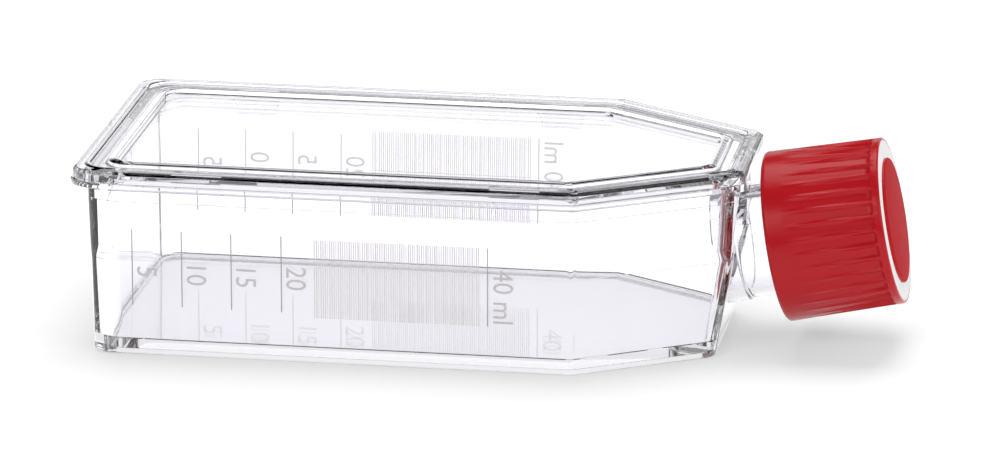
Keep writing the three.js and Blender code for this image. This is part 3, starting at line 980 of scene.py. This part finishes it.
class FLASK_OT_print(bpy.types.Operator):
    """Print the volume scale and the writing field on both long walls."""

    bl_idname = "flask.print"
    bl_label = "Print"

    def execute(self, context):
        marks = [ink_mark(x, MARK_LOW, MARK_HIGH) for x, _ in SCALE_MARKS]
        marks.append(ink_mark(FULL_MARK, FIELD_LOW[1], FIELD_HIGH[1]))
        past, middle = SCALE_FIGURES_AT
        figures = [ink_words(text, x + past, middle) for x, text in SCALE_MARKS]
        figures.append(ink_words(FULL_FIGURES, FULL_MARK + FULL_FIGURES_AT[0], FULL_FIGURES_AT[1]))
        layers = (
            ("field", [ink_hatch()], "field_lines"),
            ("marks", marks, "ink"),
            ("figures", figures, "figure_ink"),
        )
        for side, wall in ((-1, "near"), (1, "far")):
            for name, parts, colour in layers:
                points, faces = gather(parts)
                piece = new_piece(
                    f"print_{name}_{wall}", onto_wall(points, side), faces, "flask", "clear_polystyrene",
                )
                piece.data.materials.append(make_material(f"grey screen print, {name}", screen_print, colour))
                piece.visible_shadow = False
        return {"FINISHED"}


# ---- materials ------------------------------------------------------------------------------------


def linear(value):
    """An sRGB hex value as linear red, green, blue and alpha."""
    channels = np.array([int(value[i:i + 2], 16) for i in (1, 3, 5)]) / 255
    low = channels / 12.92
    high = ((channels + 0.055) / 1.055) ** 2.4
    return (*np.where(channels <= 0.04045, low, high), 1.0)


WHITE = linear("#ffffff")

# Lengths in millimetres of the flow waves in polystyrene, the tool's grain on the cap and the felt of
# the membrane. The last two are drawn coarser than real, so that they show.
FLOW_WAVE = 50 / 3
TOOL_GRAIN = 0.4
FELT_FIBRE = 0.25

# Share of a lamp's light that passes a clear wall square on and edge on, and how late it falls
PASSED_SQUARE, PASSED_EDGE, PASSED_FALL = 0.88, 0.2, 4.0

# Roughness of the cap's skirt and of its disc
SKIRT_ROUGHNESS, DISC_ROUGHNESS = 0.26, 0.8

# The sweep's glow to every line of sight, and what gloss and glass see on top of that
SWEEP_GLOW, SWEEP_GLASS_GLOW = 0.14, 0.24


def node(tree, kind, settings=None, links=None):
    """Adds a node, sets its sockets or properties by name, and links sockets to it."""
    added = tree.nodes.new(kind)
    for key, value in (settings or {}).items():
        if isinstance(key, int) or key in added.inputs:
            added.inputs[key].default_value = value
        else:
            setattr(added, key, value)
    for key, socket in (links or {}).items():
        tree.links.new(socket, added.inputs[key])
    return added


def make_material(name, build, *arguments):
    """The material of this name. The first call makes it, and build fills its emptied node tree."""
    material = bpy.data.materials.get(name)
    if material is None:
        material = bpy.data.materials.new(name)
        material.use_nodes = True
        material.node_tree.nodes.clear()
        build(material.node_tree, *arguments)
    return material


def relief(tree, spacing, detail, strength, depth):
    """A noise bump with features a spacing in millimetres apart and a depth in millimetres."""
    place = node(tree, "ShaderNodeTexCoord")
    noise = node(tree, "ShaderNodeTexNoise", {"Scale": 1 / (spacing * MM), "Detail": detail},
                 {"Vector": place.outputs["Object"]})
    bump = node(tree, "ShaderNodeBump", {"Strength": strength, "Distance": depth * MM},
                {"Height": noise.outputs["Fac"]})
    return bump.outputs["Normal"]


def crystal_polystyrene(tree):
    """Crystal polystyrene, injection moulded against polished steel.

    It is clear and bends light strongly, so flat walls vanish and rounded edges draw bright and dark
    lines. Long paths through it turn faintly grey. To lamps it is a see-through film, which passes less
    where a wall stands edge on, so that the flask has a soft, pale shadow.
    """
    colours = bpy.context.scene.flask_colours
    clear = node(
        tree, "ShaderNodeBsdfPrincipled",
        {"Base Color": linear(colours.polystyrene), "Roughness": 0.0, "IOR": 1.59,
         "Transmission Weight": 1.0},
        {"Normal": relief(tree, FLOW_WAVE, detail=1.0, strength=0.02, depth=0.1)},
    )
    slant = node(tree, "ShaderNodeLayerWeight", {"Blend": 0.5})
    steep = node(tree, "ShaderNodeMath", {"operation": "POWER", 1: PASSED_FALL}, {0: slant.outputs["Facing"]})
    passed = node(tree, "ShaderNodeMapRange", {"To Min": PASSED_SQUARE, "To Max": PASSED_EDGE},
                  {"Value": steep.outputs[0]})
    film = node(tree, "ShaderNodeBsdfTransparent", {}, {"Color": passed.outputs["Result"]})
    path = node(tree, "ShaderNodeLightPath")
    lighting = node(tree, "ShaderNodeMath", {"operation": "MAXIMUM"},
                    {0: path.outputs["Is Shadow Ray"], 1: path.outputs["Is Diffuse Ray"]})
    surface = node(tree, "ShaderNodeMixShader", {},
                   {0: lighting.outputs[0], 1: clear.outputs[0], 2: film.outputs[0]})
    depth = node(tree, "ShaderNodeVolumeAbsorption", {"Color": linear(colours.depth), "Density": 5.0})
    node(tree, "ShaderNodeOutputMaterial", {}, {"Surface": surface.outputs[0], "Volume": depth.outputs[0]})


def red_polyethylene(tree):
    """Red polyethylene, injection moulded.

    It is waxy, with light that seeps a little under its skin. The skirt has half gloss and a faint
    grain from the tool, and the disc's face is matt.
    """
    cap = sizes("flask_cap")
    disc_side = NECK_ROOT @ NECK_AXIS + cap.stand_off + cap.length + cap.disc_proud / 2
    place = node(tree, "ShaderNodeTexCoord")
    along = node(tree, "ShaderNodeVectorMath", {"operation": "DOT_PRODUCT", 1: NECK_AXIS},
                 {0: place.outputs["Object"]})
    on_disc = node(tree, "ShaderNodeMath", {"operation": "GREATER_THAN", 1: disc_side * MM},
                   {0: along.outputs["Value"]})
    roughness = node(tree, "ShaderNodeMapRange", {"To Min": SKIRT_ROUGHNESS, "To Max": DISC_ROUGHNESS},
                     {"Value": on_disc.outputs[0]})
    red = node(
        tree, "ShaderNodeBsdfPrincipled",
        {"Base Color": linear(bpy.context.scene.flask_colours.cap), "IOR": 1.52, "Specular IOR Level": 0.22,
         "Subsurface Weight": 0.15, "Subsurface Radius": (1 * MM, 0.3 * MM, 0.3 * MM),
         "Subsurface Scale": 1.0},
        {"Normal": relief(tree, TOOL_GRAIN, detail=3.0, strength=0.08, depth=0.05),
         "Roughness": roughness.outputs["Result"]},
    )
    node(tree, "ShaderNodeOutputMaterial", {}, {"Surface": red.outputs[0]})


def filter_membrane(tree):
    """Hydrophobic filter membrane, cast: matt white, with a fine felt that takes its gloss."""
    white = node(
        tree, "ShaderNodeBsdfPrincipled",
        {"Base Color": linear(bpy.context.scene.flask_colours.membrane), "Roughness": 0.85},
        {"Normal": relief(tree, FELT_FIBRE, detail=4.0, strength=0.3, depth=0.05)},
    )
    node(tree, "ShaderNodeOutputMaterial", {}, {"Surface": white.outputs[0]})


def screen_print(tree, colour):
    """Screen-printed ink: matt, and so thin that half of what it shows is light from behind it."""
    shade = linear(getattr(bpy.context.scene.flask_colours, colour))
    ink = node(tree, "ShaderNodeBsdfPrincipled", {"Base Color": shade, "Roughness": 0.6})
    back_lit = node(tree, "ShaderNodeBsdfTranslucent", {"Color": shade})
    layer = node(tree, "ShaderNodeMixShader", {0: 0.5}, {1: ink.outputs[0], 2: back_lit.outputs[0]})
    node(tree, "ShaderNodeOutputMaterial", {}, {"Surface": layer.outputs[0]})


def white_sweep(tree):
    """White paper sweep, matt, lit by the lamps.

    A faint glow, which lights nothing, lifts it to white where it is seen, and shadows stay on it.
    """
    white = node(tree, "ShaderNodeBsdfDiffuse", {"Color": linear(bpy.context.scene.flask_colours.floor)})
    path = node(tree, "ShaderNodeLightPath")
    glassy = node(tree, "ShaderNodeMath", {"operation": "MAXIMUM"},
                  {0: path.outputs["Is Glossy Ray"], 1: path.outputs["Is Transmission Ray"]})
    seen = node(tree, "ShaderNodeMath", {"operation": "MAXIMUM"},
                {0: path.outputs["Is Camera Ray"], 1: glassy.outputs[0]})
    base = node(tree, "ShaderNodeMath", {"operation": "MULTIPLY", 1: SWEEP_GLOW}, {0: seen.outputs[0]})
    strength = node(tree, "ShaderNodeMath", {"operation": "MULTIPLY_ADD", 1: SWEEP_GLASS_GLOW},
                    {0: glassy.outputs[0], 2: base.outputs[0]})
    glow = node(tree, "ShaderNodeEmission", {"Color": WHITE}, {"Strength": strength.outputs[0]})
    both = node(tree, "ShaderNodeAddShader", {}, {0: white.outputs[0], 1: glow.outputs[0]})
    node(tree, "ShaderNodeOutputMaterial", {}, {"Surface": both.outputs[0]})


# ---- stage ----------------------------------------------------------------------------------------

# Camera: degrees round the flask, above it and rolled, then metres, and millimetres for lens and sensor
CAMERA_AZIMUTH, CAMERA_ELEVATION, CAMERA_ROLL = 8.84, 16.23, 0.22
CAMERA_DISTANCE = 0.876
CAMERA_TARGET = (-0.000391, -0.00035, 0.0125)
CAMERA_LENS, CAMERA_SENSOR = 254.25, 36
CAMERA_CLIP = (0.05, 100)

# Floor: half its width and how far it lies under the flask, in metres
FLOOR_HALF, FLOOR_DROP = 20.0, 0.00002

# Strength of the white world as light, and as the background that the camera sees
WORLD_LIGHT, WORLD_SEEN = 0.5, 1.0

# What gloss and glass see of the room: (degrees above the horizon, brightness), beyond the flask and on
# the camera's side of it, and how softly one changes to the other at the sides
BACKDROP_BANDS = ((0, 0.15), (6, 0.15), (8, 1), (19, 1), (21, 0.0))
ROOM_BANDS = ((0, 0.0), (11, 0.0), (13, 1), (42, 1), (46, 0.0))
ROOM_BLEND = 0.1

# Lamps: name, place and size in metres, and power in watts
LAMPS = (
    ("overhead softbox", (0.0, 0.3, 0.85), 0.65, 3.7),
    ("front softbox", (-0.35, -0.7, 0.55), 0.4, 1.2),
    ("side softbox", (0.7, -0.25, 0.3), 0.4, 0.8),
)
LAMP_AIM = Vector((0, 0, 0.01))

# Walls, rims and threads lie behind one another, so light takes many steps through the clear plastic
LIGHT_BOUNCES = 24


class FLASK_OT_stage(bpy.types.Operator):
    """Set the pale floor, the soft light and the camera."""

    bl_idname = "flask.stage"
    bl_label = "Stage"

    def execute(self, context):
        scene = context.scene
        scene.view_settings.view_transform = "Standard"
        self.floor(scene)
        self.world(scene)
        self.lamps(scene)
        self.camera(scene)
        scene.cycles.max_bounces = LIGHT_BOUNCES
        scene.cycles.transmission_bounces = LIGHT_BOUNCES
        scene.cycles.glossy_bounces = LIGHT_BOUNCES
        scene.cycles.transparent_max_bounces = LIGHT_BOUNCES
        scene.cycles.caustics_refractive = False
        scene.cycles.caustics_reflective = False
        return {"FINISHED"}

    def floor(self, scene):
        """A white sheet just under the flask, far wider than the view."""
        corners = FLOOR_HALF * np.array([[-1, -1, 0], [1, -1, 0], [1, 1, 0], [-1, 1, 0]])
        mesh = bpy.data.meshes.new("floor")
        mesh.from_pydata((corners - [0, 0, FLOOR_DROP]).tolist(), [], [[0, 1, 2, 3]])
        mesh.materials.append(make_material("white sweep", white_sweep))
        floor = bpy.data.objects.new("floor", mesh)
        scene.collection.objects.link(floor)

    def world(self, scene):
        """White all round as light and as background. Gloss and glass see a room instead, whose walls
        are white between a dark foot and a dark ceiling: these draw the dark lines along clear edges."""
        world = bpy.data.worlds.new("studio")
        scene.world = world
        world.cycles.sampling_method = "NONE"
        world.use_nodes = True
        tree = world.node_tree
        tree.nodes.clear()
        place = node(tree, "ShaderNodeTexCoord")
        split = node(tree, "ShaderNodeSeparateXYZ", {}, {0: place.outputs["Generated"]})
        beyond = self.bands(tree, split.outputs["Z"], BACKDROP_BANDS)
        before = self.bands(tree, split.outputs["Z"], ROOM_BANDS)
        side = node(tree, "ShaderNodeMapRange",
                    {"interpolation_type": "SMOOTHSTEP", "From Min": -ROOM_BLEND, "From Max": ROOM_BLEND},
                    {"Value": split.outputs["Y"]})
        room = node(tree, "ShaderNodeMix", {},
                    {"Factor": side.outputs["Result"], "A": before.outputs["Color"],
                     "B": beyond.outputs["Color"]})
        light = node(tree, "ShaderNodeBackground", {"Color": WHITE, "Strength": WORLD_LIGHT})
        shown = node(tree, "ShaderNodeBackground", {"Color": WHITE}, {"Strength": room.outputs[0]})
        backdrop = node(tree, "ShaderNodeBackground", {"Color": WHITE, "Strength": WORLD_SEEN})
        path = node(tree, "ShaderNodeLightPath")
        glassy = node(tree, "ShaderNodeMath", {"operation": "MAXIMUM"},
                      {0: path.outputs["Is Glossy Ray"], 1: path.outputs["Is Transmission Ray"]})
        around = node(tree, "ShaderNodeMixShader", {},
                      {0: glassy.outputs[0], 1: light.outputs[0], 2: shown.outputs[0]})
        final = node(tree, "ShaderNodeMixShader", {},
                     {0: path.outputs["Is Camera Ray"], 1: around.outputs[0], 2: backdrop.outputs[0]})
        node(tree, "ShaderNodeOutputWorld", {}, {"Surface": final.outputs[0]})

    def bands(self, tree, height, stops):
        """A ramp of brightness over the sine of the elevation."""
        ramp = node(tree, "ShaderNodeValToRGB", {}, {"Fac": height})
        elements = ramp.color_ramp.elements
        while len(elements) < len(stops):
            elements.new(0.5)
        for element, (elevation, brightness) in zip(elements, stops):
            element.position = math.sin(math.radians(elevation))
            element.color = (brightness, brightness, brightness, 1)
        return ramp

    def lamps(self, scene):
        """Square soft lamps that face the flask, and that glass doesn't show."""
        for name, place, size, power in LAMPS:
            light = bpy.data.lights.new(name, "AREA")
            light.shape = "SQUARE"
            light.size = size
            light.energy = power
            lamp = bpy.data.objects.new(name, light)
            scene.collection.objects.link(lamp)
            lamp.location = place
            lamp.visible_transmission = False
            lamp.rotation_euler = (LAMP_AIM - Vector(place)).to_track_quat("-Z", "Y").to_euler()

    def camera(self, scene):
        """A long lens, placed by its angle round the target and above it, and rolled a little."""
        data = bpy.data.cameras.new("camera")
        data.lens = CAMERA_LENS
        data.sensor_width = CAMERA_SENSOR
        data.clip_start, data.clip_end = CAMERA_CLIP
        camera = bpy.data.objects.new("camera", data)
        scene.collection.objects.link(camera)
        azimuth, elevation = math.radians(CAMERA_AZIMUTH), math.radians(CAMERA_ELEVATION)
        level = math.cos(elevation)
        back = Vector((math.sin(azimuth) * level, -math.cos(azimuth) * level, math.sin(elevation)))
        camera.location = Vector(CAMERA_TARGET) + back * CAMERA_DISTANCE
        camera.rotation_euler = (-back).to_track_quat("-Z", "Y").to_euler()
        camera.rotation_euler.rotate_axis("Z", math.radians(CAMERA_ROLL))
        scene.camera = camera


# ---- add-on ---------------------------------------------------------------------------------------

OPERATORS = (FLASK_OT_tray, FLASK_OT_plate, FLASK_OT_cap, FLASK_OT_membrane, FLASK_OT_print, FLASK_OT_stage)


class FLASK_PT_panel(bpy.types.Panel):
    """Lists the flask's pieces in the sidebar."""

    bl_label = "Cell Culture Flask"
    bl_idname = "FLASK_PT_panel"
    bl_space_type = "VIEW_3D"
    bl_region_type = "UI"
    bl_category = "Flask"

    def draw(self, context):
        for operator in OPERATORS:
            self.layout.operator(operator.bl_idname, text=operator.bl_label)


CLASSES = (*SETTINGS.values(), *OPERATORS, FLASK_PT_panel)


def register():
    """Adds the classes, and the groups of sizes and colours to the scene."""
    for cls in CLASSES:
        bpy.utils.register_class(cls)
    for name, group in SETTINGS.items():
        setattr(bpy.types.Scene, name, PointerProperty(type=group))


def unregister():
    """Takes away what register adds."""
    for name in SETTINGS:
        delattr(bpy.types.Scene, name)
    for cls in reversed(CLASSES):
        bpy.utils.unregister_class(cls)


def main():
    """Builds every piece and the stage in order."""
    register()
    bpy.ops.flask.tray()
    bpy.ops.flask.plate()
    bpy.ops.flask.cap()
    bpy.ops.flask.membrane()
    bpy.ops.flask.print()
    bpy.ops.flask.stage()


if __name__ == "__main__":
    main()
